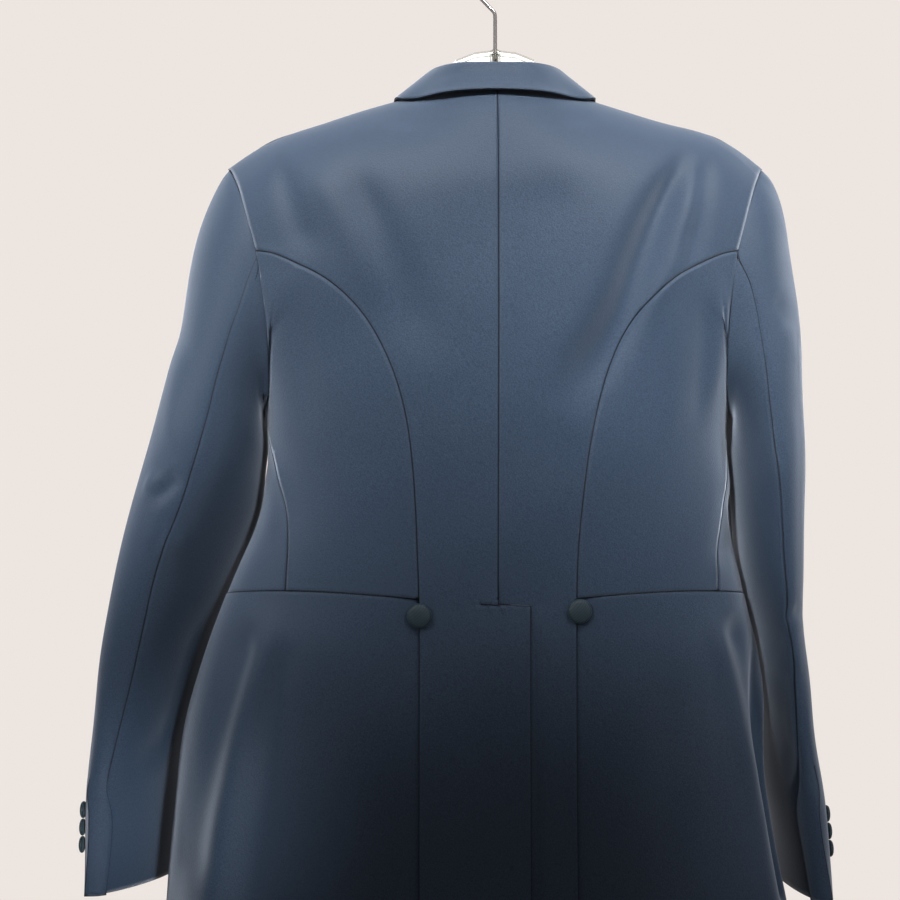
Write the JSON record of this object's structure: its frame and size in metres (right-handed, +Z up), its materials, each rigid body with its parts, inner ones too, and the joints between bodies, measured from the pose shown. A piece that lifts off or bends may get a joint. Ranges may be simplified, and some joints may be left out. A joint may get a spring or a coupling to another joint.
{
  "type": "morning coat on clear hanger",
  "caption": "Tailed morning coat with peak lapels, cutaway front and lapped back vent, hung on a clear arched hanger with a bright wire hook.",
  "frame": {"origin": "inside of the hook's crown, where it hangs on a rail", "axes": "+Z up out of the hook, +Y out of the coat's back, +X to the wearer's left"},
  "size_m": [0.6597, 0.2337, 1.1287],
  "materials": {
    "worsted": "fine midnight navy worsted wool with a soft sheen",
    "button_cloth": "fine ribbed charcoal cloth over a domed button",
    "clear_plastic": "clear moulded plastic, polished",
    "bright_steel": "bright plated wire"
  },
  "bodies": {
    "root": {"back_left": "worsted", "back_right": "worsted", "side_body_left": "worsted", "side_body_right": "worsted", "forepart_left": "worsted", "forepart_right": "worsted", "skirt_left": "worsted", "skirt_right": "worsted", "lapel_left": "worsted", "lapel_right": "worsted", "top_sleeve_left": "worsted", "top_sleeve_right": "worsted", "under_sleeve_left": "worsted", "under_sleeve_right": "worsted", "collar": "worsted", "waist_button_left": "button_cloth", "waist_button_right": "button_cloth", "cuff_button_left_1": "button_cloth", "cuff_button_left_2": "button_cloth", "cuff_button_left_3": "button_cloth", "cuff_button_right_1": "button_cloth", "cuff_button_right_2": "button_cloth", "cuff_button_right_3": "button_cloth", "front_button": "button_cloth", "hanger_body": "clear_plastic", "hanger_hook": "bright_steel"}
  },
  "joints": []
}
